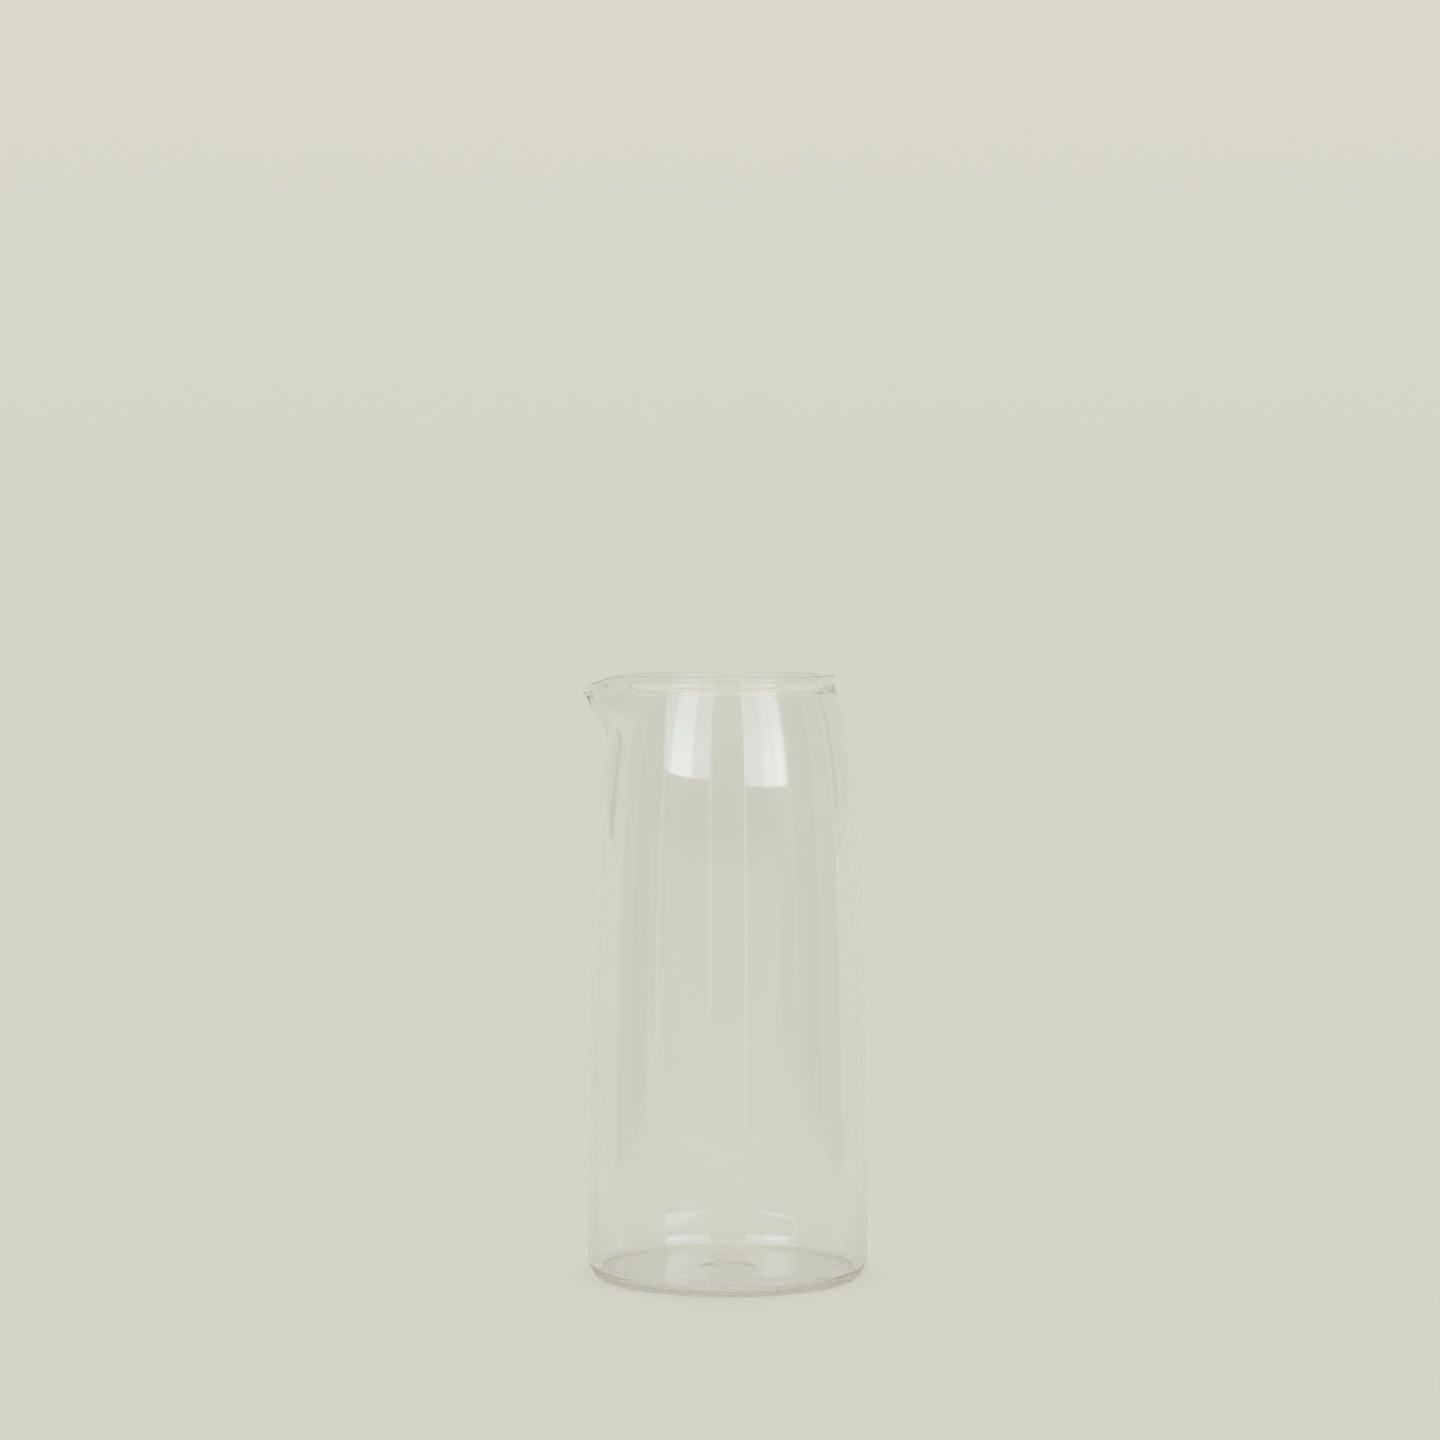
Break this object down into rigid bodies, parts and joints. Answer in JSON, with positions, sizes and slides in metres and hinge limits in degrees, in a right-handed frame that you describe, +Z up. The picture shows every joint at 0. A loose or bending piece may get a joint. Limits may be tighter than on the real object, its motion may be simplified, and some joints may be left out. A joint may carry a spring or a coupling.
{
  "type": "pouring beaker",
  "caption": "Tall clear-glass pouring beaker with a flat base, gently tapering body, drawn-in shoulder, fire-polished rim and a pulled pouring lip.",
  "frame": {"origin": "on the vessel's axis, at the flat underside of the base", "axes": "+Z up along the vessel's axis, -X towards the pouring lip, +Y to the side"},
  "size_m": [0.0863, 0.085, 0.1825],
  "materials": {
    "glass": "clear, fire-polished, with a faint olive cast where the glass is thick"
  },
  "bodies": {
    "root": {"base_disc": "glass", "heel_ring": "glass", "body_wall": "glass", "shoulder_wall": "glass", "throat_wall": "glass", "pouring_lip": "glass", "rim_bead": "glass"}
  },
  "joints": []
}
